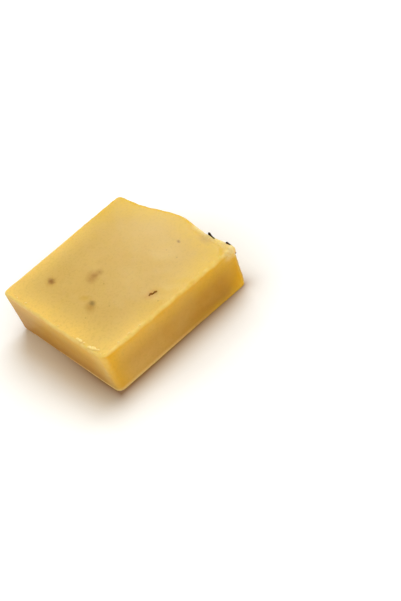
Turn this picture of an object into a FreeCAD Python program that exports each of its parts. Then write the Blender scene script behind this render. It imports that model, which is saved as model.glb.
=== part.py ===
import FreeCAD, Part
import math
import os
from FreeCAD import Vector

# A slice of a handmade loaf of soap, lying on one of its two knife-cut faces.
# Millimetres, +Z up. +X runs from one mould wall to the other, +Y from the mould's floor to the loaf's top.
# The origin is on the table, at the middle of the slice's nominal outline.

# Slice
floor_width = 76.5
crown_width = 80.2
left_height = 77.6
right_height = 81.1
thickness = 25.2
thickness_loss_x = 3.1
thickness_loss_y = 0.4

# Wear of the edges
mould_corner_radius = 3.4
crust_corner_radius = 3.0
upper_edge_radius = 2.6
lower_edge_wear = 0.5

# Relief of the crust: rise over the straight line between its two corners, at shares of the width.
# One row lies in the upper cut, one at half the thickness and one on the table.
crust_shares = (0.0, 0.20, 0.36, 0.53, 0.66, 0.78, 0.90, 1.0)
crust_rise_upper = (0.2, 0.5, 2.7, 4.3, 2.6, 1.2, 1.2, 0.9)
crust_rise_middle = (0.2, 0.9, 1.9, 2.6, 0.9, -0.9, 1.2, 0.6)
crust_rise_lower = (0.2, 0.8, 2.6, 2.7, 1.4, -0.2, 0.8, 0.3)

# Dried needles: each lies from one spot of the crust to another, and is bowed sideways by the last value.
# A spot is a share of the width, a share of the thickness, and the lift of the needle's middle line there.
needle_thickness = 0.95
needle_tip_thickness = 0.4
needle_sides = 6
needle_shoulder = 0.18
needle_shoulder_swell = 0.8
needle_rest = 0.1
needle_lay = (
    ((0.773, 0.98, 0.45), (0.85, 0.99, -1.75), 0.4),
    ((0.934, 0.99, -1.6), (0.977, 0.985, -2.2), 0.3),
    ((0.992, 0.82, -0.65), (0.925, 0.58, needle_rest), 0.4),
    ((0.46, 0.60, needle_rest), (0.53, 0.88, needle_rest), 0.6),
    ((0.55, 0.34, needle_rest), (0.63, 0.55, needle_rest), -0.7),
    ((0.58, 0.82, needle_rest), (0.66, 0.63, needle_rest), 0.8),
    ((0.68, 0.24, needle_rest), (0.71, 0.55, needle_rest), -0.6),
    ((0.74, 0.74, needle_rest), (0.80, 0.46, needle_rest), 0.6),
    ((0.73, 0.17, needle_rest), (0.825, 0.29, needle_rest), 0.9),
    ((0.40, 0.38, needle_rest), (0.49, 0.25, needle_rest), 0.7),
)

# Broken needle that the knife bared in the upper cut face. Its middle is measured from two mould faces.
shard_length = 4.9
shard_thickness = 1.2
shard_bow = 0.5
shard_turn = 70
shard_sink = 0.2
shard_from_right_wall = 10.9
shard_from_floor = 39.3

# Dried petals: thin curled leaves.
# Each has a share of the width, a share of the thickness and a turn in degrees.
petal_length = 9.5
petal_width = 5.8
petal_thickness = 0.4
petal_curl_radius = 4.4
petal_sink = 0.35
petal_lay = ((0.27, 0.52, 24), (0.885, 0.28, 62))

# Outline corners, counter-clockwise from the mould's left floor corner
depth_mean = 0.5 * (left_height + right_height)
flare = 0.5 * (crown_width - floor_width)
tallest = thickness + thickness_loss_x + thickness_loss_y
flat_tolerance = 0.01
floor_left = Vector(-0.5 * floor_width, -0.5 * depth_mean, 0)
floor_right = Vector(0.5 * floor_width, -0.5 * depth_mean, 0)
crown_right = floor_right + Vector(flare, right_height, 0)
crown_left = floor_left + Vector(-flare, left_height, 0)


def upper_cut_height(x, y):
    # The upper cut is a plane that loses a little height towards +X and +Y.
    return thickness - thickness_loss_x * x / crown_width - thickness_loss_y * y / depth_mean


def lower_cut_height(x, y):
    # The lower cut lies on the table.
    return 0.0


def straight_crust(share):
    # Point on the straight line between the crust's two corners.
    return crown_left + (crown_right - crown_left) * share


def crust_curve(rises, height):
    # Smooth curve through one row, run on past both corners so that the mould walls can trim it.
    spots = [straight_crust(share) + Vector(0, rise, height) for share, rise in zip(crust_shares, rises)]
    run_on = Vector(0.1 * crown_width, 0, 0)
    curve = Part.BSplineCurve()
    curve.interpolate([spots[0] - run_on] + spots + [spots[-1] + run_on])
    return curve.toShape()


def crust_face():
    # Surface lofted through the three rows, run on under the table and over the upper cut.
    lower = crust_curve(crust_rise_lower, 0)
    middle = crust_curve(crust_rise_middle, 0.5 * thickness)
    upper = crust_curve(crust_rise_upper, thickness)
    run_on = Vector(0, 0, tallest - thickness)
    rows = (lower.translated(run_on * -1), lower, middle, upper, upper.translated(run_on))
    loft = Part.makeLoft([Part.Wire([row]) for row in rows], False, False)
    return loft.Faces[0]


def crust_point(face, share, level):
    # Point on the crust and its outward normal, at a share of the width and of the thickness.
    base = straight_crust(share)
    base.z = level * upper_cut_height(base.x, base.y)
    reach = Vector(0, 0.25 * depth_mean, 0)
    probe = Part.LineSegment(base - reach, base + reach)
    meeting = probe.intersectCS(face.Surface)[0][0]
    point = Vector(meeting.X, meeting.Y, meeting.Z)
    u, v = face.Surface.parameter(point)
    normal = face.Surface.normal(u, v)
    if normal.y < 0:
        normal = normal * -1
    return point, normal


def soap_blank(face):
    # Prism on the outline, cut by the crust's surface and by the upper knife plane.
    past_crust = 1.25
    wall_right = (crown_right - floor_right) * past_crust
    wall_left = (crown_left - floor_left) * past_crust
    corners = [floor_left, floor_right, floor_right + wall_right, floor_left + wall_left, floor_left]
    block = Part.Face(Part.makePolygon(corners)).extrude(Vector(0, 0, tallest))
    outside = face.extrude(Vector(0, depth_mean, 0))
    reach = crown_width + depth_mean
    knife = []
    for x, y in ((-reach, -reach), (reach, -reach), (reach, reach), (-reach, reach), (-reach, -reach)):
        knife.append(Vector(x, y, upper_cut_height(x, y)))
    waste = Part.Face(Part.makePolygon(knife)).extrude(Vector(0, 0, reach))
    return block.cut(outside).cut(waste)


def upright_edges(shape, side):
    # Edges as tall as the slice, at the mould's floor (side -1) or at the crust (side 1).
    found = []
    for edge in shape.Edges:
        ends = [vertex.Point for vertex in edge.Vertexes]
        rise = abs(ends[0].z - ends[-1].z)
        if rise > 0.5 * thickness and side * ends[0].y > 0.25 * depth_mean:
            found.append(edge)
    return found


def flat_edges(shape, height_at):
    # Edges that lie in the cut plane whose height at x, y is given.
    found = []
    for edge in shape.Edges:
        points = [vertex.Point for vertex in edge.Vertexes]
        if all(abs(point.z - height_at(point.x, point.y)) < flat_tolerance for point in points):
            found.append(edge)
    return found


def rounded(blank):
    # Upright corners first, then a narrow worn edge on the table side and a rounded one above.
    shape = blank.makeFillet(mould_corner_radius, upright_edges(blank, -1))
    shape = shape.makeFillet(crust_corner_radius, upright_edges(shape, 1))
    shape = shape.makeChamfer(lower_edge_wear, flat_edges(shape, lower_cut_height))
    return shape.makeFillet(upper_edge_radius, flat_edges(shape, upper_cut_height))


def rod(first, middle, last, full_thickness, tip_thickness):
    # Shrivelled needle: angular rings along an arc, joined by flat facets, thin at both ends.
    path = Part.Arc(first, middle, last)
    span = path.LastParameter - path.FirstParameter
    aside = (middle - (first + last) * 0.5).normalize()
    near = (needle_shoulder, needle_shoulder_swell)
    far = (1 - needle_shoulder, needle_shoulder_swell)
    rings = []
    for share, swell in ((0, 0), near, (0.5, 1), far, (1, 0)):
        place = path.FirstParameter + share * span
        along = path.tangent(place)[0]
        across = along.cross(aside).normalize()
        radius = 0.5 * (tip_thickness + (full_thickness - tip_thickness) * swell)
        corners = []
        for side in range(needle_sides + 1):
            angle = 2 * math.pi * side / needle_sides
            spoke = across * math.cos(angle) + across.cross(along) * math.sin(angle)
            corners.append(path.value(place) + spoke * radius)
        rings.append(Part.makePolygon(corners))
    return Part.makeLoft(rings, True, True)


def needle(face, first_spot, last_spot, bow):
    # Needle between two spots of the crust, bowed sideways along it.
    ends = []
    for share, level, lift in (first_spot, last_spot):
        point, normal = crust_point(face, share, level)
        ends.append(point + normal * lift)
    share, level, lift = ((a + b) / 2 for a, b in zip(first_spot, last_spot))
    point, normal = crust_point(face, share, level)
    sideways = normal.cross(ends[1] - ends[0]).normalize()
    middle = point + normal * lift + sideways * bow
    return rod(ends[0], middle, ends[1], needle_thickness, needle_tip_thickness)


def shard(blank):
    # Broken needle just under the upper cut, sliced flush with it by the knife.
    y = floor_right.y + shard_from_floor
    x = floor_right.x + flare * shard_from_floor / right_height - shard_from_right_wall
    centre = Vector(x, y, upper_cut_height(x, y) - shard_sink)
    angle = math.radians(shard_turn)
    half = Vector(math.cos(angle), math.sin(angle), 0) * (0.5 * shard_length)
    sideways = Vector(-math.sin(angle), math.cos(angle), 0) * shard_bow
    whole = rod(centre - half, centre + sideways, centre + half, shard_thickness, needle_tip_thickness)
    return whole.common(blank).Solids[0]


def petal(face, share, level, turn):
    # Curled sheet cut to a pointed oval, standing on its two long edges, which sink into the soap.
    outer = petal_curl_radius
    inner = petal_curl_radius - petal_thickness
    near_end = Vector(-0.5 * petal_length, 0, 0)
    shell = Part.makeCylinder(outer, petal_length, near_end, Vector(1, 0, 0))
    hollow = Part.makeCylinder(inner, petal_length, near_end, Vector(1, 0, 0))
    tip = Vector(0.5 * petal_length, 0, 0)
    side = Vector(0, 0.5 * petal_width, 0)
    rims = [Part.Arc(tip * -1, side, tip), Part.Arc(tip, side * -1, tip * -1)]
    outline = Part.Wire([rim.toShape() for rim in rims])
    oval = Part.Face(outline).extrude(Vector(0, 0, 2 * outer))
    sheet = shell.cut(hollow).common(oval).Solids[0]
    foot = math.sqrt(inner**2 - (0.5 * petal_width) ** 2)
    point, normal = crust_point(face, share, level)
    upright = FreeCAD.Rotation(Vector(0, 0, 1), normal)
    spin = FreeCAD.Rotation(Vector(0, 0, 1), turn)
    seat = FreeCAD.Placement(point - normal * (foot + petal_sink), upright.multiply(spin))
    sheet.Placement = seat
    return sheet


def export(name, solids):
    # One file per node: a single solid, or a group of separate ones.
    shape = solids[0] if len(solids) == 1 else Part.makeCompound(solids)
    volume = sum(solid.Volume for solid in solids) / 1000.0
    print(name, all(solid.isValid() for solid in solids), len(solids), "solids", round(volume, 3), "cm3")
    shape.exportStep(os.path.join("parts", name + ".step"))


os.makedirs("parts", exist_ok=True)

crust = crust_face()
bar = rounded(soap_blank(crust))
needles = [needle(crust, *lay) for lay in needle_lay] + [shard(bar)]
petals = [petal(crust, *lay) for lay in petal_lay]
for pressed_in in needles + petals:
    bar = bar.cut(pressed_in)

export("soap_bar", bar.Solids)
export("dried_needles", needles)
export("dried_petals", petals)
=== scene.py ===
import math
import bpy
import numpy as np
from mathutils import Euler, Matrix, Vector


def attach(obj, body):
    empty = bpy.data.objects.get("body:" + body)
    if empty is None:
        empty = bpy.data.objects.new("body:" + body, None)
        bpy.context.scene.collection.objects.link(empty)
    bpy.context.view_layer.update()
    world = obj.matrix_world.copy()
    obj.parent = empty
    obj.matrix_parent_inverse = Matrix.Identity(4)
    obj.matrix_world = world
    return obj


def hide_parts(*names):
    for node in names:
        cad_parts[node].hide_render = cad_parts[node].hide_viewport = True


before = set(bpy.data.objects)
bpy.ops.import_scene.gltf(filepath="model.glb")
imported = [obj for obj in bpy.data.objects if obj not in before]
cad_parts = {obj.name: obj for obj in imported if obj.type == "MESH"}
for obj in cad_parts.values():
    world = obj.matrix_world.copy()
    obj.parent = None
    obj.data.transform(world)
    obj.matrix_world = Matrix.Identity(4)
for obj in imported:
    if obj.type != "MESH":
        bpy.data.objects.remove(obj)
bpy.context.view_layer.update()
mm = 0.001

# A slice of handmade soap. Lengths in the dictionaries are millimetres, and colours are as the eye sees
# them, from 0 to 255.
barShape = {
    "floorWidth": 76.5,          # across the loaf at the mould's floor
    "crownWidth": 80.2,          # across the loaf at the crust
    "leftHeight": 77.6,          # from the floor to the crust, at the left and at the right
    "rightHeight": 81.1,
    "thickness": 25.2,
    "thicknessLossX": 3.1,       # the upper knife cut leans
    "thicknessLossY": 0.4,
    "mouldCorner": 3.4,          # rounding of the upright corners at the floor, and at the crust
    "crustCorner": 3.0,
    "upperEdge": {"right": 1.7, "left": 2.6, "crust": 2.3, "floor": 1.4},     # rounding on each side
    "edgeWear": 0.35,            # how much the upper edge's rounding wanders
    "lowerEdge": 0.5,
    "lowerWear": 4.4,            # the floor's side is worn more below, towards its left end
    "lowerWearSpan": (-28.0, 34.0),
    "lean": (0.45, 0.9),         # how far the right wall and the floor's wall lean out at the top
    # crust: its rise over a straight line, at shares of the width, in the upper cut, half way and below
    "crustShares": (0.0, 0.20, 0.36, 0.53, 0.66, 0.78, 0.90, 1.0),
    "crustUpper": (0.2, 0.5, 2.7, 4.3, 2.6, 1.2, 1.2, 0.9),
    "crustMiddle": (0.2, 0.9, 1.9, 2.6, 0.9, -0.9, 1.2, 0.6),
    "crustLower": (0.2, 0.8, 2.6, 2.7, 1.4, -0.2, 0.8, 0.3),
    "sidePoints": 150,           # mesh points along one face, and round one corner
    "cornerPoints": 16,
    "crowding": 0.055,           # how far the points along a face crowd towards its corners
    "cutWobble": 0.10,           # waves that the knife left in the cut faces
    "underHollow": 0.12,         # the lower cut rises a little towards its middle
    "wallHollow": 0.30,          # the mould's walls shrink in a little between the edges
    "hollowSpan": 40.0,          # distance from the edges at which they do so in full
    "wallWobble": 0.10,
    "crustLumps": 0.55,
    "edgeCrumble": 0.22,         # small lumps along the rounded upper edge
    # painted highlight along the upper edge: its crest as a share of the rounding and a length, how the
    # crest wanders, and how far the painted highlight reaches above it, below it at the left, and below it
    # at the right
    "highlightCrest": (0.55, 0.3),
    "highlightWander": 0.35,
    "highlightReach": (1.2, 1.7, 0.9),
    "cap": (39.6, 39.2, 22.6),   # crumbly crust that wraps the right end of the rim
    "capReach": 3.4,
    "capSwell": 1.1,
    # line along which the dried crust shows pale over the upper edge
    "paleLine": (
        (14.0, 41.8, 24.2), (26.0, 40.6, 23.9), (33.0, 40.6, 23.4), (38.6, 39.6, 22.8), (40.0, 36.6, 22.0),
    ),
    "paleReach": 2.3,
}


def smoothNoise(points, cell, seed):
    # Value noise: random values at the corners of a lattice of the given cell, eased between them.
    rng = np.random.default_rng(seed)
    size = 24
    table = rng.uniform(-1, 1, (size, size, size))
    place = points / cell + 1000.0
    base = np.floor(place).astype(int)
    ease = place - base
    ease = ease * ease * (3 - 2 * ease)
    total = np.zeros(points.shape[:-1])
    for corner in np.ndindex(2, 2, 2):
        step = np.array(corner)
        spot = (base + step) % size
        weight = np.prod(np.where(step == 1, ease, 1 - ease), axis=-1)
        total += weight * table[spot[..., 0], spot[..., 1], spot[..., 2]]
    return total


def easeStep(low, high, value):
    # 0 under low, 1 over high, an S-curve between.
    share = np.clip((value - low) / (high - low), 0, 1)
    return share * share * (3 - 2 * share)


def upperCut(x, y, shape=barShape):
    # Height of the upper cut plane: thickness less a slope in x and in y.
    depth = 0.5 * (shape["leftHeight"] + shape["rightHeight"])
    return (
        shape["thickness"]
        - shape["thicknessLossX"] * x / shape["crownWidth"]
        - shape["thicknessLossY"] * y / depth
    )


def crustRise(share, level, shape=barShape):
    # Rise of the crust over its straight line: a smooth curve through each of three rows (cubic between the
    # stations), and a parabola through the three rows over the thickness.
    stations = np.array(shape["crustShares"])
    share = np.clip(share, 0, 1)
    rows = []
    for name in ("crustLower", "crustMiddle", "crustUpper"):
        rises = np.array(shape[name])
        slopes = np.gradient(rises, stations)
        index = np.clip(np.searchsorted(stations, share, side="right") - 1, 0, len(stations) - 2)
        width = stations[index + 1] - stations[index]
        t = (share - stations[index]) / width
        rows.append(
            (2 * t**3 - 3 * t**2 + 1) * rises[index]
            + (t**3 - 2 * t**2 + t) * width * slopes[index]
            + (3 * t**2 - 2 * t**3) * rises[index + 1]
            + (t**3 - t**2) * width * slopes[index + 1]
        )
    low = 2 * (level - 0.5) * (level - 1)
    mid = -4 * level * (level - 1)
    high = 2 * level * (level - 0.5)
    return low * rows[0] + mid * rows[1] + high * rows[2]


def barCorners(shape=barShape):
    # The four corners of the outline, counter-clockwise from the floor's left one.
    depth = 0.5 * (shape["leftHeight"] + shape["rightHeight"])
    half = 0.5 * shape["floorWidth"]
    wide = 0.5 * shape["crownWidth"]
    low = -0.5 * depth
    return np.array(
        [(-half, low), (half, low), (wide, low + shape["rightHeight"]), (-wide, low + shape["leftHeight"])]
    )


def crustPoint(share, level, shape=barShape):
    # Point of the crust and its outward normal, from the same rise as the bar's own surface.
    corners = barCorners(shape)

    def place(s, l):
        base = corners[3] + (corners[2] - corners[3]) * s
        return np.array([base[0], base[1] + crustRise(np.array(s), l), l * upperCut(base[0], base[1])])

    here = place(share, level)
    alongX = place(share + 0.01, level) - place(share - 0.01, level)
    alongZ = place(share, level + 0.02) - place(share, level - 0.02)
    normal = np.cross(alongZ, alongX)
    return here, normal / np.linalg.norm(normal)


def barOutline(shape=barShape):
    # Closed outline: straight sides joined by arcs that touch them. Returns points, and how far each point
    # belongs to the crust (the y part of its outward normal).
    corners = barCorners(shape)
    radii = [shape["mouldCorner"], shape["mouldCorner"], shape["crustCorner"], shape["crustCorner"]]
    legs = np.roll(corners, -1, axis=0) - corners
    legs = legs / np.linalg.norm(legs, axis=1)[:, None]
    spots = []
    for index in range(4):
        before = legs[index - 1]
        after = legs[index]
        turn = math.acos(float(np.clip(before @ after, -1, 1)))
        reach = radii[index] * math.tan(0.5 * turn)
        centre = corners[index] - before * reach + np.array([-before[1], before[0]]) * radii[index]
        first = math.atan2(-before[0], before[1])
        sweep = first + np.linspace(0, turn, shape["cornerPoints"])
        arc = centre + radii[index] * np.stack([np.cos(sweep), np.sin(sweep)], axis=1)
        spots.append(arc)
    pieces = []
    for index in range(4):
        here = spots[index]
        following = spots[(index + 1) % 4]
        share = np.linspace(0, 1, shape["sidePoints"] + 2)[1:-1, None]
        share = share - shape["crowding"] * np.sin(2 * math.pi * share)
        side = here[-1] + (following[0] - here[-1]) * share
        pieces += [here, side]
    points = np.concatenate(pieces)
    tangent = np.roll(points, -1, axis=0) - np.roll(points, 1, axis=0)
    normal = np.stack([tangent[:, 1], -tangent[:, 0]], axis=1)
    normal /= np.linalg.norm(normal, axis=1)[:, None]
    return points, np.clip(normal[:, 1], 0, 1)


def gridFaces(rows, columns):
    # Quads of a grid whose columns close on themselves, and fans to a pole at each end of the rows.
    row = np.arange(rows - 1)[:, None]
    column = np.arange(columns)[None, :]
    following = (column + 1) % columns
    first = row * columns + column
    second = row * columns + following
    quads = np.stack([first, second, second + columns, first + columns], axis=-1).reshape(-1, 4)
    lowPole = rows * columns
    highPole = lowPole + 1
    last = (rows - 1) * columns
    column = np.arange(columns)
    following = (column + 1) % columns
    lowFan = np.stack([following, column, np.full(columns, lowPole)], axis=-1)
    highFan = np.stack([last + column, last + following, np.full(columns, highPole)], axis=-1)
    return quads, np.concatenate([lowFan, highFan])


def makeObject(name, vertices, quads, triangles, attributes, material):
    # Puts whole arrays (millimetres) into a mesh, with float attributes on its points.
    mesh = bpy.data.meshes.new(name)
    faces = [tuple(face) for face in quads.tolist()] + [tuple(face) for face in triangles.tolist()]
    mesh.from_pydata((vertices * mm).tolist(), [], faces)
    for key, values in attributes.items():
        layer = mesh.attributes.new(key, "FLOAT", "POINT")
        layer.data.foreach_set("value", np.ascontiguousarray(values, dtype=np.float32).ravel())
    mesh.polygons.foreach_set("use_smooth", np.ones(len(mesh.polygons), dtype=bool))
    mesh.materials.append(material)
    mesh.update()
    piece = bpy.data.objects.new(name, mesh)
    bpy.context.scene.collection.objects.link(piece)
    return piece


def soapSurface(shape=barShape):
    # The bar as one closed surface: the outline carried up a profile that runs from the middle of the lower
    # cut, round the lower edge, up the wall, round the upper edge and in to the middle of the upper cut.
    outline, crustShare = barOutline(shape)
    columns = len(outline)
    corners = barCorners(shape)
    share = (outline[:, 0] - corners[3, 0]) / shape["crownWidth"]

    # profile: turn of the surface normal, height share of the wall, and scale towards the middle
    lowerFace = np.linspace(0.04, 0.98, 10)
    lowerTurn = np.linspace(-90, 0, 7)
    wall = np.linspace(0, 1, 36)[1:-1]
    upperTurn = np.linspace(0, 90, 15)
    upperFace = 1 - np.linspace(0, 1, 64)[1:-1] ** 1.25
    under = len(lowerFace)
    facingDown = np.full(under, -90.0)
    facingUp = np.full(len(upperFace), 90.0)
    turn = np.concatenate([facingDown, lowerTurn, np.zeros(len(wall)), upperTurn, facingUp])
    turn = np.radians(turn)[:, None]
    lowerRows = under + len(lowerTurn)
    upperRows = len(upperTurn) + len(upperFace)
    rise = np.concatenate([np.zeros(lowerRows), wall, np.ones(upperRows)])[:, None]
    fullSize = len(lowerTurn) + len(wall) + len(upperTurn)
    scale = np.concatenate([lowerFace, np.ones(fullSize), upperFace])[:, None]
    rows = len(turn)

    # outline at each height, with the crust's relief
    risen = crustRise(share[None, :], rise) * crustShare[None, :]
    x = np.repeat(outline[None, :, 0], rows, axis=0)
    y = outline[None, :, 1] + risen
    tangentX = np.roll(x, -1, axis=1) - np.roll(x, 1, axis=1)
    tangentY = np.roll(y, -1, axis=1) - np.roll(y, 1, axis=1)
    size = np.hypot(tangentX, tangentY)
    outX = tangentY / size
    outY = -tangentX / size

    # edges rounded by wear, more at one place than another
    ring = np.stack([outline[:, 0], outline[:, 1], np.zeros(columns)], axis=1)
    wander = smoothNoise(ring, 9.0, 3) + 0.5 * smoothNoise(ring, 3.1, 4)
    facing = {"right": outX[:1], "left": -outX[:1], "crust": outY[:1], "floor": -outY[:1]}
    upperRadius = sum(shape["upperEdge"][side] * np.clip(part, 0, 1) ** 2 for side, part in facing.items())
    upperRadius = upperRadius + shape["edgeWear"] * wander[None, :]
    towardsLeft = easeStep(*shape["lowerWearSpan"], -outline[:, 0])[None, :]
    wear = shape["lowerWear"] * towardsLeft * np.clip(-outY[:1], 0, 1) ** 2
    lowerRadius = shape["lowerEdge"] * (1 + wear)
    radius = np.where(turn >= 0, upperRadius, lowerRadius)
    inset = radius * (1 - np.cos(turn))
    x = (x - outX * inset) * scale
    y = (y - outY * inset) * scale
    top = upperCut(x, y)
    fillet = radius * (1 - np.abs(np.sin(turn)))
    z = lowerRadius + rise * (top - upperRadius - lowerRadius)
    z = np.where(turn > 0, top - fillet, z)
    z = np.where(turn < 0, fillet, z)

    # surface normal, from the profile's turn
    upward = np.broadcast_to(np.sin(turn), x.shape)
    normal = np.stack([np.cos(turn) * outX, np.cos(turn) * outY, upward], axis=-1)
    points = np.stack([x, y, z], axis=-1)

    # distance of each point from the six faces, and from the nearest edge
    wallRight = corners[2] - corners[1]
    wallLeft = corners[3] - corners[0]
    wallRight = wallRight / np.linalg.norm(wallRight)
    wallLeft = wallLeft / np.linalg.norm(wallLeft)
    fromRight = -(x - corners[1, 0]) * wallRight[1] + (y - corners[1, 1]) * wallRight[0]
    fromLeft = (x - corners[0, 0]) * wallLeft[1] - (y - corners[0, 1]) * wallLeft[0]
    fromFloor = y - corners[0, 1]
    shareHere = (x - corners[3, 0]) / shape["crownWidth"]
    crustHere = corners[3, 1] + (corners[2, 1] - corners[3, 1]) * shareHere + crustRise(shareHere, z / top)
    fromCrust = crustHere - y
    distances = np.sort(np.stack([fromRight, fromLeft, fromFloor, fromCrust, z, top - z]), axis=0)
    soft = 4.0      # how softly the distances from two edges join
    joined = np.exp(-distances[1] / soft) + np.exp(-distances[2] / soft)
    edgeDistance = -soft * np.log(joined) + soft * math.log(2)
    edgeDistance = np.where(distances[1] < 0.3, 0, np.clip(edgeDistance, 0, None))

    # which face a point belongs to
    onCrust = crustShare[None, :] * np.cos(turn) ** 2
    onCut = np.abs(np.sin(turn)) ** 2 + 0 * x
    onWall = np.clip(1 - onCrust - onCut, 0, 1)

    # relief: knife waves, hollow walls, lumpy crust
    move = onCut * shape["cutWobble"] * (smoothNoise(points, 17.0, 11) + 0.35 * smoothNoise(points, 4.0, 12))
    span = shape["hollowSpan"] ** 2
    midway = np.sin(np.pi * z / top)
    hollow = np.clip(fromFloor, 0, None) * np.clip(fromCrust, 0, None) / span * midway
    acrossHollow = np.clip(fromRight, 0, None) * np.clip(fromLeft, 0, None) / span * midway
    sides = np.where(np.clip(-outY, 0, 1) > 0.7, acrossHollow, hollow)
    move -= onWall * shape["wallHollow"] * np.clip(sides, 0, 1)
    ripples = smoothNoise(points, 11.0, 13) + 0.4 * smoothNoise(points, 2.6, 14)
    move += onWall * shape["wallWobble"] * ripples
    lumps = smoothNoise(points, 6.5, 15) + 0.5 * smoothNoise(points, 2.4, 16)
    lumps = lumps + 0.22 * smoothNoise(points, 1.1, 17)
    fade = 0.25 + 0.75 * easeStep(0.0, 5.0, top - z)
    move += onCrust * shape["crustLumps"] * (lumps - 0.35) * fade
    atEdge = np.exp(-(((turn - 0.8) / 0.42) ** 2)) * np.clip((0.5 * math.pi - turn) / 0.3, 0, 1)
    grit = smoothNoise(points, 2.3, 19) + 0.6 * smoothNoise(points, 1.0, 20)
    move += atEdge * shape["edgeCrumble"] * grit * (0.45 + 0.55 * easeStep(30.0, 38.0, x))
    cap = np.exp(-np.sum((points - np.array(shape["cap"])) ** 2, axis=-1) / shape["capReach"] ** 2)
    move += cap * shape["capSwell"] * (1 + 0.45 * smoothNoise(points, 1.3, 21))

    # painted highlight on the rounded upper edge on the two sides nearest the eye, and on the upright corner
    # between; "climb" is the way up the profile in millimetres, from the foot of the rounding
    side = np.clip(outX, 0, 1) ** 2 + np.clip(-outY, 0, 1) ** 2
    toRight = easeStep(0.3, 0.8, outX)
    climb = np.where(turn > 0, upperRadius * turn, z - (top - upperRadius))
    ofRadius, length = shape["highlightCrest"]
    crest = ofRadius * upperRadius + length + shape["highlightWander"] * smoothNoise(ring, 4.0, 31)[None, :]
    above, leftBelow, rightBelow = shape["highlightReach"]
    reach = np.where(climb > crest, above, leftBelow + (rightBelow - leftBelow) * toRight)
    offCut = np.clip((0.5 * math.pi - turn) / 0.4, 0, 1)
    paintedHighlight = np.exp(-(((climb - crest) / reach) ** 2)) * side * offCut * (turn >= 0)
    paintedHighlight = paintedHighlight * np.clip(0.88 + 0.28 * smoothNoise(ring, 2.0, 32)[None, :], 0, 1)
    corner = np.exp(-(((outX + outY) / 0.75) ** 2)) * (outX > 0)
    towardsEye = 0.6 * np.exp(-(((0.5 * shape["floorWidth"] - x) / 9.0) ** 2)) * np.clip(-outY, 0, 1) ** 2
    paintedHighlight = np.maximum(paintedHighlight, towardsEye * np.cos(turn) ** 2 * (turn >= 0))
    paintedHighlight = np.maximum(paintedHighlight, (0.3 + 0.5 * easeStep(8.0, 24.0, z)) * corner * np.cos(turn) ** 2 * (turn >= 0))

    # dried crust showing pale: nearness to a line along the rim
    pale = np.zeros_like(x)
    line = np.array(shape["paleLine"])
    for first, second in zip(line[:-1], line[1:]):
        leg = second - first
        t = np.clip(((points - first) @ leg) / (leg @ leg), 0, 1)
        away = np.linalg.norm(points - (first + t[..., None] * leg), axis=-1)
        pale = np.maximum(pale, np.exp(-((away / shape["paleReach"]) ** 2)))
    points = points + normal * move[..., None]
    high = points[..., 2] / top
    points[..., 0] += shape["lean"][0] * high * np.clip(points[..., 0] / 38.0, 0, 1) ** 2
    points[..., 1] -= shape["lean"][1] * high * np.clip(-points[..., 1] / 38.0, 0, 1) ** 2
    points[..., 2] = np.maximum(points[..., 2], 0)
    bottom = points[:under]
    rising = shape["underHollow"] * np.clip(1 - scale[:under], 0, 1)
    points[:under, :, 2] = rising * (1 + smoothNoise(bottom, 15.0, 18))

    poles = np.array([[0, 0, 0.15], [0, 0, float(np.mean(points[-1, :, 2]))]])
    vertices = np.concatenate([points.reshape(-1, 3), poles])
    fields = {
        "edgeDistance": edgeDistance,
        "onCrust": onCrust,
        "onCut": onCut,
        "pale": pale,
        "paintedHighlight": paintedHighlight,
        "depth": 1 - z / top,
        "rightSide": toRight,
    }
    flat = {}
    for key, values in fields.items():
        whole = np.broadcast_to(values, x.shape).ravel()
        flat[key] = np.concatenate([whole, [np.mean(values[0]), np.mean(values[-1])]])
    quads, fans = gridFaces(rows, columns)
    return vertices, quads, fans, flat


# Flakes and crumbs left on the upper edge, their pale colour partly a painted glint: place, length, width,
# height, turn in degrees.
crumbShape = {
    "flakes": (
        (19.3, -38.9, 2.7, 1.5, 0.42, -4),
        (21.5, -38.8, 2.4, 1.5, 0.5, -12),
        (23.7, -38.7, 1.6, 1.0, 0.35, 4),
        (28.0, -39.0, 2.4, 1.3, 0.35, 8),
        (30.1, -38.4, 3.0, 1.8, 0.5, 22),
        (32.4, -37.8, 2.4, 1.1, 0.35, 26),
        (-21.0, -38.3, 1.6, 0.9, 0.5, 10),
        (-27.5, -38.5, 1.1, 0.7, 0.4, -30),
        (5.0, -38.6, 1.1, 0.6, 0.4, 40),
        (37.2, -29.4, 1.2, 0.7, 0.5, 70),
        (37.3, -23.4, 1.4, 0.7, 0.5, 100),
        (37.9, -17.2, 1.3, 0.8, 0.5, 85),
    ),
    "strewn": 26,                # tiny ones along the two edges nearest the eye
    "strewnSize": (0.2, 0.42),
    "around": 14,                # mesh points round a crumb, and from end to end
    "along": 9,
    # pale, partly a painted glint
    "colours": ((248, 212, 118), (255, 234, 150)),
}


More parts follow.
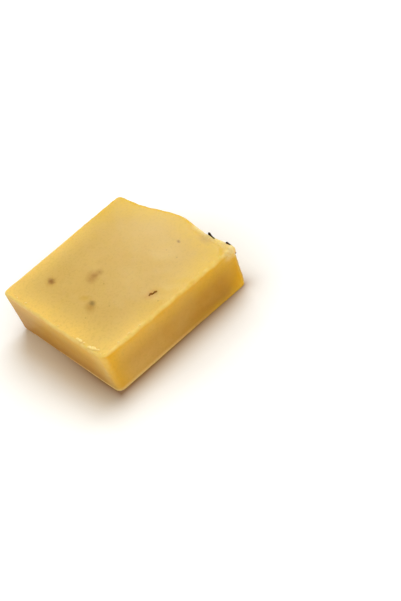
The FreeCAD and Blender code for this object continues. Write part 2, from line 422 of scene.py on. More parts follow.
def crumbSurfaces(shape=crumbShape, bar=barShape):
    # Crumbs: ellipsoids (a grid over two angles) with uneven skins, sunk to their middles in the edge.
    rng = np.random.default_rng(61)
    flakes = list(shape["flakes"])
    low, high = shape["strewnSize"]
    for index in range(shape["strewn"]):
        size = rng.uniform(low, high)
        place = rng.uniform(-36, 37)
        aside = rng.uniform(-0.8, 0.9)
        spot = (place, -38.5 + aside) if index % 2 else (37.6 - aside + 0.022 * place, place)
        flakes.append((*spot, size * rng.uniform(1.0, 1.9), size, size * 0.8, rng.uniform(0, 180)))
    corners = barCorners(bar)
    surfaces = []
    polar = np.linspace(0.12, math.pi - 0.12, shape["along"])[:, None]
    around = np.linspace(0, 2 * math.pi, shape["around"], endpoint=False)[None, :]
    for index, (x, y, length, width, height, turn) in enumerate(flakes):
        local = np.stack(
            [
                0.5 * length * np.sin(polar) * np.cos(around),
                0.5 * width * np.sin(polar) * np.sin(around),
                -0.5 * height * np.cos(polar) * np.ones_like(around),
            ],
            axis=-1,
        )
        local *= 1 + 0.42 * smoothNoise(local + 7.3 * index, 0.8 * max(width, 0.4), 70)[..., None]
        angle = math.radians(turn)
        cosine = math.cos(angle)
        sine = math.sin(angle)
        swing = np.array([[cosine, sine, 0], [-sine, cosine, 0], [0, 0, 1]])
        # depth of the rounded edge under a point, from how far it lies outside the flat part of the cut
        radius = bar["upperEdge"]["floor"]
        upWall = (y - corners[1, 1]) / bar["rightHeight"]
        rightWall = corners[1, 0] + (corners[2, 0] - corners[1, 0]) * upWall
        floorWall = corners[0, 1] - bar["lean"][1]
        over = max(x - (rightWall - radius), (floorWall + radius) - y, 0.0)
        drop = radius - math.sqrt(max(radius**2 - min(over, 0.97 * radius) ** 2, 0.0))
        ground = upperCut(x, y) - drop
        surfaces.append(local @ swing + np.array([x, y, ground + 0.15 * height]))
    return surfaces


def colour(red, green, blue):
    # Eye values (0 to 255) to the linear values that a shader wants.
    values = np.array([red, green, blue]) / 255.0
    linear = np.where(values <= 0.04045, values / 12.92, ((values + 0.055) / 1.055) ** 2.4)
    return (*linear.tolist(), 1.0)


class NodeBench:
    # Adds the shader nodes of one material, or of the world, and joins their sockets.
    def __init__(self, name, world=False):
        # An empty node tree, with its output and its object coordinates.
        self.holder = (bpy.data.worlds if world else bpy.data.materials).new(name)
        self.holder.use_nodes = True
        self.tree = self.holder.node_tree
        self.tree.nodes.clear()
        self.output = self.tree.nodes.new("ShaderNodeOutputWorld" if world else "ShaderNodeOutputMaterial")
        self.coordinates = self.tree.nodes.new("ShaderNodeTexCoord").outputs["Object"]

    def link(self, source, target):
        # One wire from socket to socket.
        self.tree.links.new(source, target)

    def put(self, value, socket):
        # A socket is wired to another, and a number or colour is written into it.
        if isinstance(value, bpy.types.NodeSocket):
            self.link(value, socket)
        else:
            socket.default_value = value

    def add(self, kind, settings=None, **inputs):
        # A node with its settings; i0, i1 and so on give an input by number, other words by name.
        node = self.tree.nodes.new(kind)
        for key, value in (settings or {}).items():
            setattr(node, key, value)
        for key, value in inputs.items():
            numbered = key[0] == "i" and key[1:].isdigit()
            self.put(value, node.inputs[int(key[1:]) if numbered else key])
        return node

    def math(self, operation, first, second=0.0, clamp=False):
        # One sum on one or two values.
        node = self.add("ShaderNodeMath", {"operation": operation, "use_clamp": clamp}, i0=first, i1=second)
        return node.outputs[0]

    def times(self, first, second, clamp=False):
        # First times second.
        return self.math("MULTIPLY", first, second, clamp)

    def range(self, value, low, high, toLow=0.0, toHigh=1.0):
        # toLow under low, toHigh over high, an S-curve between.
        node = self.add("ShaderNodeMapRange", {"interpolation_type": "SMOOTHSTEP"})
        self.link(value, node.inputs["Value"])
        for key, number in (("From Min", low), ("From Max", high), ("To Min", toLow), ("To Max", toHigh)):
            node.inputs[key].default_value = number
        return node.outputs["Result"]

    def mix(self, share, first, second, blend="MIX"):
        # First colour at share 0, second at share 1, or their product by share.
        node = self.add("ShaderNodeMix", {"data_type": "RGBA", "blend_type": blend}, i0=share)
        self.put(first, node.inputs[6])
        self.put(second, node.inputs[7])
        return node.outputs[2]

    def noise(self, scale, detail=3.0, rough=0.55):
        # Cloudy noise from 0 to 1, with so many clouds a metre.
        node = self.add("ShaderNodeTexNoise", Scale=scale, Detail=detail, Roughness=rough)
        self.link(self.coordinates, node.inputs["Vector"])
        return node.outputs["Fac"]

    def length(self, vector):
        # Length of a vector.
        return self.add("ShaderNodeVectorMath", {"operation": "LENGTH"}, i0=vector).outputs["Value"]

    def attribute(self, name):
        # A number kept on the mesh's points.
        return self.add("ShaderNodeAttribute", {"attribute_name": name}).outputs["Fac"]

    def bump(self, height, strength, distance, normal=None):
        # Relief from a height, over an earlier relief if one is given.
        node = self.add("ShaderNodeBump", Height=height, Strength=strength, Distance=distance)
        if normal is not None:
            self.link(normal, node.inputs["Normal"])
        return node.outputs["Normal"]

    def principled(self, **values):
        # The surface shader, into the output; an underscore in a word stands for a blank.
        node = self.tree.nodes.new("ShaderNodeBsdfPrincipled")
        for key, value in values.items():
            self.put(value, node.inputs[key.replace("_", " ")])
        self.link(node.outputs[0], self.output.inputs["Surface"])


soapLook = {
    "tints": {
        "rim": (250, 213, 108),           # upper cut, near its edges
        "rimFar": (230, 190, 36),         # the same, on the crust's side
        "rimFront": (246, 212, 110),      # and at the right: front, middle, far
        "rimRight": (229, 193, 84),
        "rimRightFar": (234, 196, 58),
        "centre": (213, 178, 92),         # upper cut, in the middle
        "centreFar": (214, 176, 74),
        "leftFade": (239, 235, 212),      # multiplies the left wall at its left end
        "wallEdge": (240, 190, 28),       # skin of the walls near their edges, partly a painted highlight along them
        "wallCorner": (230, 176, 4),      # and at the right wall's two upright corners
        # painted light from the floor on the walls' lower edge
        "paintedFloorLight": (252, 216, 150),
        "crust": (208, 170, 92),          # sculpted top, dried in the air
        "highlightLeft": (255, 228, 146),      # painted highlight on the rounded edges
        "highlightRight": (255, 226, 138),
        "pale": (250, 228, 168),          # dried, crumbly rim of the crust
        "cloud": (236, 206, 126),
        "speck": (150, 112, 16),
    },
    # walls: under the upper edge, half way, near the table; lighter high and darker low as painted light and
    # shade, and the right wall's front paler again at its foot as painted light from the floor
    "leftWall": ((244, 196, 84), (213, 161, 63), (188, 133, 48)),
    "rightNear": ((230, 184, 78), (209, 164, 80), (222, 182, 104)),
    "rightFar": ((220, 169, 28), (192, 138, 32), (175, 123, 26)),
    "rimReach": 19.0,                 # from the edge to the full centre colour
    "rimStir": 7.0,                   # how much clouds stir the rim, so that it has no ruler line
    # zones where one colour turns into the next, from and to
    "farY": (-10.0, 32.0),            # towards the crust
    "rightX": (12.0, 32.0),           # towards the right rim
    "frontY": (-24.0, -4.0),          # along the right rim, from its front colour
    "rightWallY": (-36.0, 36.0),      # along the right wall
    "fadeX": (-32.0, 34.0),           # along the left wall
    "nearCornerY": (-38.0, -26.0),    # the right wall's two upright corners
    "backCornerY": (27.0, 39.0),
    "floorLightX": (-38.0, -30.0),         # painted light from the floor on the lower edge, from its left end
    "cutZ": (20.0, 23.0),             # height at which the soft marks set in
    "wornShare": 0.85,                # how much the painted highlight on the edges, the clouds and the fine spots show
    "cloudShare": 0.14,
    "mottle": 0.13,
    "markSway": 1.6,                  # how far the soft marks' outlines wander
    "roughness": 0.23,
    "roughWall": 0.11,                # added on the walls
    "roughCrust": 0.2,                # added on the crust
    "shineCut": 0.2,
    "shineWall": 0.08,
    "scatter": 3.6,                   # how far light travels inside
    "scatterWeight": 0.75,
}

# Soft marks under the upper cut, the last one partly a painted shadow at a needle's foot: place, radius,
# stretch, turn in degrees, colour and strength.
softMarks = (
    ((-21.2, -22.3), 1.9, 1.35, -15, (66, 32, 0), 1.0),
    ((-21.2, -22.5), 3.0, 1.4, -25, (186, 130, 38), 0.6),
    ((-5.0, -8.0), 1.7, 1.3, -10, (146, 92, 14), 0.5),
    ((-5.2, -8.8), 3.3, 1.5, -25, (170, 118, 28), 0.55),
    ((-4.6, -11.0), 2.6, 1.5, -25, (182, 136, 48), 0.4),
    ((-4.6, -5.1), 2.3, 1.3, -5, (168, 120, 38), 0.5),
    ((8.9, -22.3), 3.3, 1.4, -30, (176, 130, 24), 0.75),
    ((8.1, -20.5), 1.8, 1.3, -15, (112, 84, 0), 0.78),
    ((2.4, -20.2), 2.4, 1.5, 29, (198, 156, 44), 0.6),
    ((13.9, 29.8), 0.9, 1.6, 0, (150, 104, 0), 0.9),
    ((28.3, -1.2), 3.1, 1.4, 65, (200, 138, 46), 0.6),
    # partly painted shadow of the needle's foot on the rim, partly discolouration there
    ((24.0, 38.6), 4.0, 1.4, -20, (182, 150, 90), 0.6),
)


def soapMaterial(look=soapLook):
    # Waxy soap: colour by distance from the nearest edge and by face, painted light and shade down the
    # walls, a painted highlight along the edges, soft marks under the cut, light scattered inside, fine
    # pores and knife marks as bump.
    bench = NodeBench("soapWax")
    onCrust = bench.attribute("onCrust")
    onCut = bench.attribute("onCut")
    depth = bench.attribute("depth")
    rightSide = bench.attribute("rightSide")
    cloud = bench.noise(55.0, 3.0)
    fine = bench.noise(420.0, 4.0, 0.6)
    where = bench.add("ShaderNodeSeparateXYZ", i0=bench.coordinates)
    tints = {name: colour(*tint) for name, tint in look["tints"].items()}

    def through(axis, zone, start=0.0, end=1.0):
        # start before a zone along an axis, end behind it
        return bench.range(where.outputs[axis], look[zone][0] * mm, look[zone][1] * mm, start, end)

    # distance from the edge, stirred a little by clouds
    ripple = bench.math("SUBTRACT", cloud, 0.5)
    stirred = bench.math("ADD", bench.attribute("edgeDistance"), bench.times(ripple, look["rimStir"]))
    toCentre = bench.range(stirred, 0.0, look["rimReach"])
    farSide = through("Y", "farY")
    rimLeft = bench.mix(farSide, tints["rim"], tints["rimFar"])
    rimRight = bench.mix(through("Y", "frontY"), tints["rimFront"], tints["rimRight"])
    rimRight = bench.mix(farSide, rimRight, tints["rimRightFar"])
    rimColour = bench.mix(through("X", "rightX"), rimLeft, rimRight)
    centreColour = bench.mix(farSide, tints["centre"], tints["centreFar"])
    cutColour = bench.mix(toCentre, rimColour, centreColour)

    # walls: three colours down each, painted light and shade from high to low, blended along the right one
    # and round the upright corner
    stirredDepth = bench.math("ADD", depth, bench.times(ripple, 0.3))
    upper = bench.range(stirredDepth, 0.06, 0.52)
    lower = bench.range(stirredDepth, 0.48, 0.96)
    shades = {}
    for name in ("leftWall", "rightNear", "rightFar"):
        high, middle, low = (colour(*shade) for shade in look[name])
        shades[name] = bench.mix(lower, bench.mix(upper, high, middle), low)
    alongRight = through("Y", "rightWallY")
    rightColour = bench.mix(alongRight, shades["rightNear"], shades["rightFar"])
    leftEnd = through("X", "fadeX", 1.0, 0.0)
    leftColour = bench.mix(leftEnd, shades["leftWall"], tints["leftFade"], "MULTIPLY")
    wallColour = bench.mix(rightSide, leftColour, rightColour)

    # skin near the walls' edges, partly a painted highlight along them: stronger at the two ends of the
    # right wall, none low at its back
    nearEnd = bench.range(alongRight, 0.0, 0.16, 0.8, 0.35)
    backEnd = bench.range(alongRight, 0.3, 1.0, 0.35, 0.85)
    skinAndHighlight = bench.math("ADD", bench.times(rightSide, bench.math("MAXIMUM", nearEnd, backEnd)), 0.2)
    lowBack = bench.times(bench.range(depth, 0.5, 0.85), bench.range(alongRight, 0.65, 0.95, 0.7, 0.0))
    skinAndHighlight = bench.times(skinAndHighlight, bench.math("SUBTRACT", 1.0, lowBack))
    skinAndHighlight = bench.times(bench.range(stirred, 0.5, 8.0, 1.0, 0.0), skinAndHighlight, clamp=True)
    nearCorner = through("Y", "nearCornerY", 0.6, 0.0)
    backCorner = through("Y", "backCornerY", 0.0, 0.6)
    cornerShare = bench.times(bench.math("MAXIMUM", nearCorner, backCorner), rightSide)
    wallColour = bench.mix(skinAndHighlight, wallColour, tints["wallEdge"])
    wallColour = bench.mix(cornerShare, wallColour, tints["wallCorner"])
    # painted light from the floor on the walls' lower edge, stronger towards the front, weak at the left end
    floorLightShare = bench.times(bench.range(depth, 0.89, 0.97), bench.range(alongRight, 0.0, 1.0, 0.9, 0.1))
    floorLightShare = bench.times(floorLightShare, through("X", "floorLightX", 0.15, 1.0))
    wallColour = bench.mix(floorLightShare, wallColour, tints["paintedFloorLight"])
    base = bench.mix(bench.range(onCut, 0.25, 0.8), wallColour, cutColour)
    base = bench.mix(bench.range(onCrust, 0.2, 0.9), base, tints["crust"])

    # soft marks, only on the upper cut: ellipses whose outlines wander
    above = through("Z", "cutZ")
    sway = look["markSway"]
    warp = bench.add("ShaderNodeTexNoise", Scale=520.0, Detail=2.0)
    bench.link(bench.coordinates, warp.inputs["Vector"])
    shift = bench.add("ShaderNodeVectorMath", {"operation": "MULTIPLY_ADD"}, i0=warp.outputs["Color"])
    shift.inputs[1].default_value = (sway * mm, sway * mm, 0)
    bench.link(bench.coordinates, shift.inputs[2])
    for (x, y), radius, stretch, turn, tint, strength in softMarks:
        mapping = bench.add("ShaderNodeMapping", {"vector_type": "TEXTURE"})
        bench.link(shift.outputs[0], mapping.inputs["Vector"])
        mapping.inputs["Location"].default_value = ((x + 0.5 * sway) * mm, (y + 0.5 * sway) * mm, 0)
        mapping.inputs["Rotation"].default_value = (0, 0, math.radians(turn))
        mapping.inputs["Scale"].default_value = (radius * mm * stretch, radius * mm, 1)
        flat = bench.add("ShaderNodeVectorMath", {"operation": "MULTIPLY"}, i0=mapping.outputs[0])
        flat.inputs[1].default_value = (1, 1, 0)
        weight = bench.range(bench.length(flat.outputs[0]), 0.0, 1.25, strength, 0.0)
        base = bench.mix(bench.times(weight, above), base, colour(*tint))

    # specks: small discs in some cells of a scattered lattice, then fine mottle, clouds and the painted
    # highlight on the edges
    cells = bench.add("ShaderNodeTexVoronoi", {"feature": "F1"}, Scale=230.0)
    bench.link(bench.coordinates, cells.inputs["Vector"])
    chosen = bench.add("ShaderNodeSeparateColor", i0=cells.outputs["Color"])
    disc = bench.range(cells.outputs["Distance"], 0.05, 0.12, 1.0, 0.0)
    picked = bench.range(chosen.outputs[0], 0.66, 0.72)
    specks = bench.times(bench.times(disc, picked), bench.range(onCut, 0.2, 0.9, 0.15, 0.5))
    base = bench.mix(specks, base, tints["speck"])
    mottle = bench.range(bench.noise(800.0, 3.0, 0.7), 0.46, 0.68, 0.0, look["mottle"])
    base = bench.mix(mottle, base, tints["speck"])
    base = bench.mix(bench.range(cloud, 0.35, 0.7, 0.0, look["cloudShare"]), base, tints["cloud"])
    # painted highlight along the rounded edges and the upright corner, where light catches them
    highlightMask = bench.times(bench.attribute("paintedHighlight"), bench.range(fine, 0.35, 0.65, 0.78, 1.0))
    worn = bench.mix(rightSide, tints["highlightLeft"], tints["highlightRight"])
    base = bench.mix(bench.times(highlightMask, look["wornShare"]), base, worn)

    # dried rim and crumbs
    grit = bench.noise(1100.0, 4.0, 0.65)
    paleShare = bench.times(bench.attribute("pale"), bench.range(grit, 0.25, 0.65, 0.35, 1.0))
    base = bench.mix(bench.times(paleShare, 0.85), base, tints["pale"])

    # relief: broad waves, pores and a rougher crust
    pores = bench.range(bench.noise(1500.0, 2.0, 0.5), 0.62, 0.74, 0.0, -1.0)
    relief = bench.bump(bench.noise(150.0, 1.0, 0.4), 0.012, 0.25 * mm)
    relief = bench.bump(pores, 0.03, 0.08 * mm, relief)
    relief = bench.bump(bench.times(grit, paleShare), 0.7, 0.5 * mm, relief)
    relief = bench.bump(bench.times(bench.noise(700.0, 5.0, 0.65), onCrust), 0.8, 0.6 * mm, relief)
    rough = bench.range(fine, 0.3, 0.7, look["roughness"], look["roughness"] + 0.012)
    dry = bench.math("MAXIMUM", onCrust, paleShare)
    rough = bench.math("ADD", rough, bench.times(dry, look["roughCrust"]))
    rough = bench.math("ADD", rough, bench.range(onCut, 0.1, 0.9, look["roughWall"], 0.0))
    shine = bench.range(onCut, 0.2, 0.9, look["shineWall"], look["shineCut"])
    bench.principled(
        Base_Color=base,
        Roughness=rough,
        Normal=relief,
        Subsurface_Weight=bench.range(highlightMask, 0.0, 1.0, look["scatterWeight"], 0.15 * look["scatterWeight"]),
        Subsurface_Radius=(1.0, 0.72, 0.25),
        Subsurface_Scale=look["scatter"] * mm,
        Specular_IOR_Level=shine,
        IOR=1.46,
    )
    return bench.holder


def makeBar():
    # The bar itself, in place of its plain solid.
    vertices, quads, fans, fields = soapSurface()
    piece = makeObject("soapBar", vertices, quads, fans, fields, soapMaterial())
    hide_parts("soap_bar")
    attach(piece, "root")
    print("bar: faces", len(quads) * 2 + len(fans))
    return piece


def crumbMaterial(look=crumbShape):
    # Flakes of dry soap: pale, partly a painted glint, a little glossy, with uneven skins.
    bench = NodeBench("soapFlakeAndGlint")
    grain = bench.noise(1400.0, 4.0, 0.6)
    dull, bright = (colour(*shade) for shade in look["colours"])
    base = bench.mix(bench.range(grain, 0.3, 0.7), dull, bright)
    relief = bench.bump(grain, 0.5, 0.15 * mm)
    bench.principled(Base_Color=base, Roughness=0.35, Normal=relief, Specular_IOR_Level=0.4)
    return bench.holder


def tubeSurface(path, radius, around, flatten, up, seed):
    # A profile carried along a path: a flattened ring with a groove underneath, its radius given at each
    # point of the path.
    steps = len(path)
    tangent = np.gradient(path, axis=0)
    tangent /= np.linalg.norm(tangent, axis=1)[:, None]
    side = np.cross(up, tangent)
    side /= np.linalg.norm(side, axis=1)[:, None]
    lift = np.cross(tangent, side)
    angle = np.linspace(0, 2 * math.pi, around, endpoint=False)[None, :, None]
    groove = 1 - 0.28 * np.exp(-((np.sin(angle) - 1) ** 2) / 0.05)
    shape = side[:, None, :] * np.cos(angle) + lift[:, None, :] * np.sin(angle) * flatten * groove
    points = path[:, None, :] + shape * radius[:, None, None]
    crumple = smoothNoise(points, 0.9, seed)[..., None] * 0.16 * radius[:, None, None]
    points = points + shape * crumple
    ridge = np.broadcast_to(np.abs(np.cos(angle[..., 0])), (steps, around))
    return points, ridge


def joinTubes(tubes):
    # Puts several closed tubes into one set of vertices and faces, with a pole at each end of each.
    vertices = []
    quads = []
    fans = []
    ridges = []
    offset = 0
    for points, ridge in tubes:
        rows, columns = ridge.shape
        poles = np.stack([points[0].mean(axis=0), points[-1].mean(axis=0)])
        vertices.append(np.concatenate([points.reshape(-1, 3), poles]))
        ridges.append(np.concatenate([ridge.ravel(), [0, 0]]))
        body, caps = gridFaces(rows, columns)
        quads.append(body + offset)
        fans.append(caps + offset)
        offset += rows * columns + 2
    return np.concatenate(vertices), np.concatenate(quads), np.concatenate(fans), np.concatenate(ridges)


def makeCrumbs():
    # Flakes and crumbs that stick to the bar's upper edge.
    surfaces = crumbSurfaces()
    vertices, quads, fans, _ = joinTubes([(points, np.zeros(points.shape[:2])) for points in surfaces])
    piece = makeObject("soapCrumbs", vertices, quads, fans, {}, crumbMaterial())
    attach(piece, "root")
    print("crumbs:", len(surfaces))
    return piece


needleShape = {
    "thickness": 1.15,
    "tip": 0.5,
    "flatten": 1.0,
    "ringPoints": 18,
    "pathPoints": 26,
    # from spot, to spot (share of width, share of thickness, lift), sideways bow
    "lay": (
        ((0.773, 0.98, 0.45), (0.85, 0.99, -1.75), 0.4),
        ((0.930, 0.998, -0.75), (0.973, 0.99, -1.25), 0.3),
        ((0.992, 0.82, -0.65), (0.925, 0.58, 0.1), 0.4),
        ((0.46, 0.60, 0.1), (0.53, 0.88, 0.1), 0.6),
        ((0.55, 0.34, 0.1), (0.63, 0.55, 0.1), -0.7),
        ((0.58, 0.82, 0.1), (0.66, 0.63, 0.1), 0.8),
        ((0.68, 0.24, 0.1), (0.71, 0.55, 0.1), -0.6),
        ((0.74, 0.74, 0.1), (0.80, 0.46, 0.1), 0.6),
        ((0.73, 0.17, 0.1), (0.825, 0.29, 0.1), 0.9),
        ((0.40, 0.38, 0.1), (0.49, 0.25, 0.1), 0.7),
    ),
    # thickness of the first ones at their two ends, as a share of the others'
    "tapers": ((1.25, 0.65), (1.2, 1.2)),
    "colours": ((14, 8, 3), (40, 23, 10)),
    "ridge": (78, 50, 24),
    "core": ((112, 66, 6), (150, 98, 24)),       # inside, where the knife bared it
}

# Broken needle bared by the cut: its bent middle line on the cut, its thickness at each point, and how far
# it stands out.
shardShape = {
    "route": ((28.2, -2.7), (27.85, -1.1), (28.85, -0.95), (28.75, 0.7), (29.5, 1.7)),
    "thickness": (0.75, 1.15, 0.7, 0.95, 0.9),
    "points": 40,
    "stand": 0.08,
    "flatten": 0.6,
    "ease": 0.055,               # how far its knees are eased, as a share of its length
}


def needleMaterial(look=needleShape):
    # Dried needle: dark brown, paler along its ridges, matt; the one that the knife bared is paler inside.
    bench = NodeBench("driedNeedle")
    grain = bench.noise(900.0, 4.0, 0.6)
    patch = bench.range(grain, 0.3, 0.7)
    ridge = bench.range(bench.attribute("ridge"), 0.75, 1.0)
    base = bench.mix(patch, *(colour(*shade) for shade in look["colours"]))
    base = bench.mix(bench.times(ridge, 0.3), base, colour(*look["ridge"]))
    core = bench.mix(patch, *(colour(*shade) for shade in look["core"]))
    base = bench.mix(bench.attribute("bared"), base, core)
    relief = bench.bump(grain, 0.6, 0.12 * mm)
    bench.principled(Base_Color=base, Roughness=0.85, Normal=relief, Specular_IOR_Level=0.06)
    return bench.holder


def bowedPath(first, middle, last, steps):
    # Parabola through three points, sampled evenly.
    t = np.linspace(0, 1, steps)[:, None]
    return (1 - t) * (1 - 2 * t) * first + 4 * t * (1 - t) * middle + t * (2 * t - 1) * last


def makeNeedles(shape=needleShape, bit=shardShape):
    # Needles pressed into the crust, and the broken one bared in the upper cut.
    tubes = []
    t = np.linspace(0, 1, shape["pathPoints"])
    fromMiddle = np.abs(2 * t - 1)
    swell = np.clip(1 - fromMiddle ** 3.5, 0, 1) ** 0.5
    blunt = np.sqrt(np.clip(1 - fromMiddle ** 12, 0.05, 1))
    radius = 0.5 * (shape["tip"] * blunt + (shape["thickness"] - shape["tip"]) * swell)
    around = shape["ringPoints"]
    for index, (first, last, bow) in enumerate(shape["lay"]):
        firstPoint, firstNormal = crustPoint(first[0], first[1])
        lastPoint, lastNormal = crustPoint(last[0], last[1])
        firstPoint = firstPoint + firstNormal * first[2]
        lastPoint = lastPoint + lastNormal * last[2]
        centre = [(a + b) / 2 for a, b in zip(first, last)]
        middle, normal = crustPoint(centre[0], centre[1])
        sideways = np.cross(normal, lastPoint - firstPoint)
        middle = middle + normal * centre[2] + sideways / np.linalg.norm(sideways) * bow
        path = bowedPath(firstPoint, middle, lastPoint, shape["pathPoints"])
        start, end = shape["tapers"][index] if index < len(shape["tapers"]) else (1.0, 1.0)
        width = radius * (start + (end - start) * t)
        tubes.append(tubeSurface(path, width, around, shape["flatten"], normal, 30 + index))
    # the broken one: even steps along its route, eased so that it has no sharp knee
    route = np.array(bit["route"])
    stations = np.linspace(0, 1, len(route))
    s = np.linspace(0, 1, bit["points"])
    plan = np.stack([np.interp(s, stations, route[:, axis]) for axis in (0, 1)], axis=1)
    blur = np.exp(-(((s[:, None] - s[None, :]) / bit["ease"]) ** 2))
    plan = (blur / blur.sum(axis=1, keepdims=True)) @ plan
    height = upperCut(plan[:, 0], plan[:, 1]) + bit["stand"]
    path = np.concatenate([plan, height[:, None]], axis=1)
    blunt = np.clip(1 - np.abs(2 * s - 1) ** 6, 0.02, 1) ** 0.5
    width = 0.5 * np.interp(s, stations, bit["thickness"]) * blunt
    tubes.append(tubeSurface(path, width, around, bit["flatten"], np.array([0, 0, 1.0]), 50))
    vertices, quads, fans, ridges = joinTubes(tubes)
    bared = np.arange(len(vertices)) >= len(vertices) - tubes[-1][1].size - 2
    fields = {"ridge": ridges, "bared": bared.astype(float)}
    piece = makeObject("driedNeedles", vertices, quads, fans, fields, needleMaterial())
    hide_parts("dried_needles")
    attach(piece, "root")
    print("needles:", len(tubes))
    return piece


petalShape = {
    "length": 9.5,
    "width": 5.8,
    "curl": 4.4,                 # radius that it is bent to across its width
    "ruffle": 0.25,              # height and number of the waves along its edges
    "ruffles": 5,
    "crease": 0.35,              # depth and width of the fold down its middle
    "creaseWidth": 0.12,
    "stand": 1.15,               # height of its middle over the crust, before it is sunk
    "sink": 0.35,
    "thickness": 0.16,
    "alongPoints": 34,
    "acrossPoints": 20,
    "lay": ((0.27, 0.52, 24), (0.885, 0.28, 62)),       # share of width, share of thickness, turn
    "colours": ((206, 172, 116), (228, 204, 158)),
    "vein": (158, 116, 66),
    "stem": (140, 96, 52),
}


def petalMaterial(look=petalShape):
    # Dried petal: straw beige with fine veins along it, light passes through a little.
    bench = NodeBench("driedPetal")
    along = bench.attribute("along")
    veins = bench.math("SINE", bench.times(bench.attribute("across"), 42.0))
    grain = bench.noise(800.0, 4.0, 0.6)
    base = bench.mix(bench.range(grain, 0.3, 0.7), *(colour(*shade) for shade in look["colours"]))
    base = bench.mix(bench.range(veins, 0.3, 1.0, 0.0, 0.35), base, colour(*look["vein"]))
    base = bench.mix(bench.range(along, 0.0, 0.25, 0.6, 0.0), base, colour(*look["stem"]))
    relief = bench.bump(veins, 0.4, 0.1 * mm)
    bench.principled(
        Base_Color=base,
        Roughness=0.6,
        Normal=relief,
        Subsurface_Weight=0.3,
        Subsurface_Radius=(1.0, 0.6, 0.3),
        Subsurface_Scale=0.6 * mm,
    )
    return bench.holder


def makePetals(shape=petalShape):
    # Curled sheets: a pointed oval bent over a cylinder, with ruffled edges, thickened by a modifier.
    vertices = []
    quads = []
    alongs = []
    acrosses = []
    steps = shape["alongPoints"]
    width = shape["acrossPoints"]
    offset = 0
    for index, (share, level, turn) in enumerate(shape["lay"]):
        u = np.linspace(0, 1, steps)[:, None]
        v = np.linspace(-1, 1, width)[None, :]
        half = 0.5 * shape["width"] * np.sin(np.pi * np.clip(u, 0.02, 0.98)) ** 0.75
        x = shape["length"] * (u - 0.5) + 0 * v
        bend = v * half / shape["curl"]
        y = shape["curl"] * np.sin(bend)
        z = shape["curl"] * (np.cos(bend) - 1)
        z = z + shape["ruffle"] * np.sin(shape["ruffles"] * np.pi * u + index) * v**2
        fold = -shape["crease"] * np.exp(-((v * half) ** 2) / shape["creaseWidth"])
        z = z + fold + shape["stand"]
        point, normal = crustPoint(share, level)
        angle = math.radians(turn)
        acrossX = np.cross(np.array([0, 0, 1.0]), normal)
        acrossX /= np.linalg.norm(acrossX)
        upward = np.cross(normal, acrossX)
        first = acrossX * math.cos(angle) + upward * math.sin(angle)
        second = np.cross(normal, first)
        height = z - shape["sink"]
        points = point + x[..., None] * first + y[..., None] * second + height[..., None] * normal
        vertices.append(points.reshape(-1, 3))
        row = np.arange(steps - 1)[:, None]
        column = np.arange(width - 1)[None, :]
        start = offset + row * width + column
        quads.append(np.stack([start, start + width, start + width + 1, start + 1], axis=-1).reshape(-1, 4))
        alongs.append((u + 0 * v).ravel())
        acrosses.append((v + 0 * u).ravel())
        offset += steps * width
    places = np.concatenate(vertices)
    faces = np.concatenate(quads)
    fields = {"along": np.concatenate(alongs), "across": np.concatenate(acrosses)}
    piece = makeObject("driedPetals", places, faces, np.zeros((0, 3), dtype=int), fields, petalMaterial())
    wall = piece.modifiers.new("thickness", "SOLIDIFY")
    wall.thickness = shape["thickness"] * mm
    wall.offset = 0
    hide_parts("dried_petals")
    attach(piece, "root")
    print("petals:", len(shape["lay"]))
    return piece


floorLook = {
    "size": 8.0,                 # metres
    "colours": ((251, 251, 251), (253, 252, 250)),
    "near": 0.045,               # metres from the middle of the bar, where the lift to white begins and ends
    "far": 0.090,
    "liftNear": 0.012,
    "liftFar": 0.26,
    "liftTint": (236, 246, 255),
    "horizon": (0.5, 2.2),       # metres, where it is lifted again
    "liftHorizon": 0.9,
    "contact": (150, 112, 62),   # shade round the bar's foot, fading over contactReach
    "contactReach": 4.6,
    "footprint": (38.8, 39.6),   # half the width and half the length of the foot
    "contactX": (-36.0, 34.0),   # from the left end, where the shade is weak, to the right one
    "contactShare": (0.25, 0.95),
}


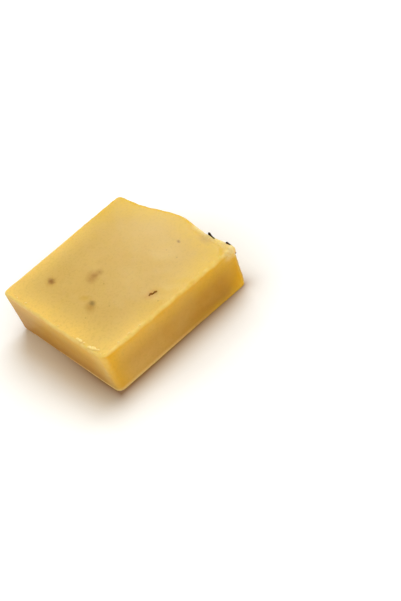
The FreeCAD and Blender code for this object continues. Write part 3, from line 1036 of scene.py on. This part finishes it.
def makeFloor(look=floorLook):
    # Wide pale floor. What the camera sees of it is lifted to white, and the bar's shadow stays.
    half = 0.5 * look["size"]
    mesh = bpy.data.meshes.new("floor")
    drop = -0.02 * mm
    corners = [(-half, -half, drop), (half, -half, drop), (half, half, drop), (-half, half, drop)]
    mesh.from_pydata(corners, [], [(0, 1, 2, 3)])
    bench = NodeBench("floorPaper")
    tone = bench.range(bench.noise(3.0, 2.0), 0.3, 0.7, 0.0, 0.05)
    base = bench.mix(tone, *(colour(*shade) for shade in look["colours"]))
    spread = bench.coordinates
    foot = (look["footprint"][0] * mm, look["footprint"][1] * mm, 0.0)
    for operation, amount in (("ABSOLUTE", None), ("SUBTRACT", foot), ("MAXIMUM", (0, 0, 0))):
        node = bench.add("ShaderNodeVectorMath", {"operation": operation}, i0=spread)
        if amount:
            node.inputs[1].default_value = amount
        spread = node.outputs[0]
    fading = bench.math("DIVIDE", bench.length(spread), -look["contactReach"] * mm)
    light = bench.add("ShaderNodeLightPath")
    where = bench.add("ShaderNodeSeparateXYZ", i0=bench.coordinates)
    shade = bench.times(bench.math("EXPONENT", fading), light.outputs["Is Camera Ray"])
    start, end = (edge * mm for edge in look["contactX"])
    shade = bench.times(shade, bench.range(where.outputs["X"], start, end, *look["contactShare"]))
    base = bench.mix(shade, base, colour(*look["contact"]))
    diffuse = bench.add("ShaderNodeBsdfDiffuse", Color=base)
    seen = bench.math("ADD", light.outputs["Is Camera Ray"], light.outputs["Is Glossy Ray"], clamp=True)
    seen = bench.math("ADD", seen, light.outputs["Is Transmission Ray"], clamp=True)
    away = bench.length(bench.coordinates)
    lift = bench.range(away, look["near"], look["far"], look["liftNear"], look["liftFar"])
    horizon = bench.range(away, *look["horizon"], 0.0, look["liftHorizon"])
    strength = bench.times(seen, bench.math("ADD", lift, horizon))
    glow = bench.add("ShaderNodeEmission", Color=colour(*look["liftTint"]), Strength=strength)
    total = bench.add("ShaderNodeAddShader", i0=diffuse.outputs[0], i1=glow.outputs[0])
    bench.link(total.outputs[0], bench.output.inputs["Surface"])
    mesh.materials.append(bench.holder)
    floor = bpy.data.objects.new("floor", mesh)
    bpy.context.scene.collection.objects.link(floor)
    print("floor")


lightPlan = {
    "worldStrength": 0.41,
    "worldTint": (255, 230, 190),
    # lamps: place and size in metres, power in watts
    "key": {"at": (-0.80, 1.68, 2.76), "size": 2.2, "power": 79.6, "tint": (233, 244, 255)},
    "sheen": {"at": (-0.965, 0.609, 1.006), "size": 0.14, "power": 1.09, "tint": (242, 255, 252)},
    "side": {"at": (1.35, -0.25, 0.75), "size": 0.9, "power": 5.0, "tint": (255, 250, 238)},
    "low": {"at": (-1.10, -1.50, 0.75), "size": 1.2, "power": 4.8, "tint": (255, 250, 240)},
}


def makeLights(plan=lightPlan):
    # A broad lamp high behind the bar, a small one whose gleam lies on the upper cut, weak ones at its right
    # and low before its left wall, and an even surround. The surround is a little warm and the broad lamp a
    # little cool, so only shadows warm.
    for name in ("key", "sheen", "side", "low"):
        settings = plan[name]
        lamp = bpy.data.lights.new(name, "AREA")
        lamp.shape = "SQUARE"
        lamp.size = settings["size"]
        lamp.energy = settings["power"]
        lamp.color = colour(*settings["tint"])[:3]
        holder = bpy.data.objects.new(name, lamp)
        holder.location = settings["at"]
        holder.rotation_euler = Vector(settings["at"]).to_track_quat("Z", "Y").to_euler()
        bpy.context.scene.collection.objects.link(holder)
    bench = NodeBench("surround", world=True)
    ray = bench.add("ShaderNodeLightPath").outputs
    mirrored = bench.math("MAXIMUM", ray["Is Transmission Ray"], ray["Is Glossy Ray"])
    seen = bench.math("MAXIMUM", ray["Is Camera Ray"], mirrored)
    tint = bench.mix(seen, colour(*plan["worldTint"]), (1, 1, 1, 1))
    strength = bench.range(seen, 0.0, 1.0, plan["worldStrength"], 1.0)
    background = bench.add("ShaderNodeBackground", Color=tint, Strength=strength)
    bench.link(background.outputs[0], bench.output.inputs["Surface"])
    bpy.context.scene.world = bench.holder
    print("lights")


cameraPlan = {
    "at": (366.328, -167.657, 345.137),      # millimetres
    "turn": (46.2150, 15.9156, 46.0818),      # degrees, XYZ
    "focalPixels": 1100.0,
    "imageHeight": 601.0,
    "sensor": 36.0,
}


def makeCamera(plan=cameraPlan):
    # Camera at the photograph's angle on the bar, worked out from the bar's own corners.
    data = bpy.data.cameras.new("camera")
    data.sensor_width = plan["sensor"]
    data.lens = plan["sensor"] * plan["focalPixels"] / plan["imageHeight"]
    data.clip_start = 0.01
    data.clip_end = 50.0
    camera = bpy.data.objects.new("camera", data)
    camera.location = Vector(plan["at"]) * mm
    camera.rotation_euler = Euler([math.radians(angle) for angle in plan["turn"]], "XYZ")
    bpy.context.scene.collection.objects.link(camera)
    bpy.context.scene.camera = camera
    print("camera")


makeCamera()
makeFloor()
makeLights()
makeBar()
makeCrumbs()
makeNeedles()
makePetals()

bpy.context.scene.view_settings.view_transform = "Standard"
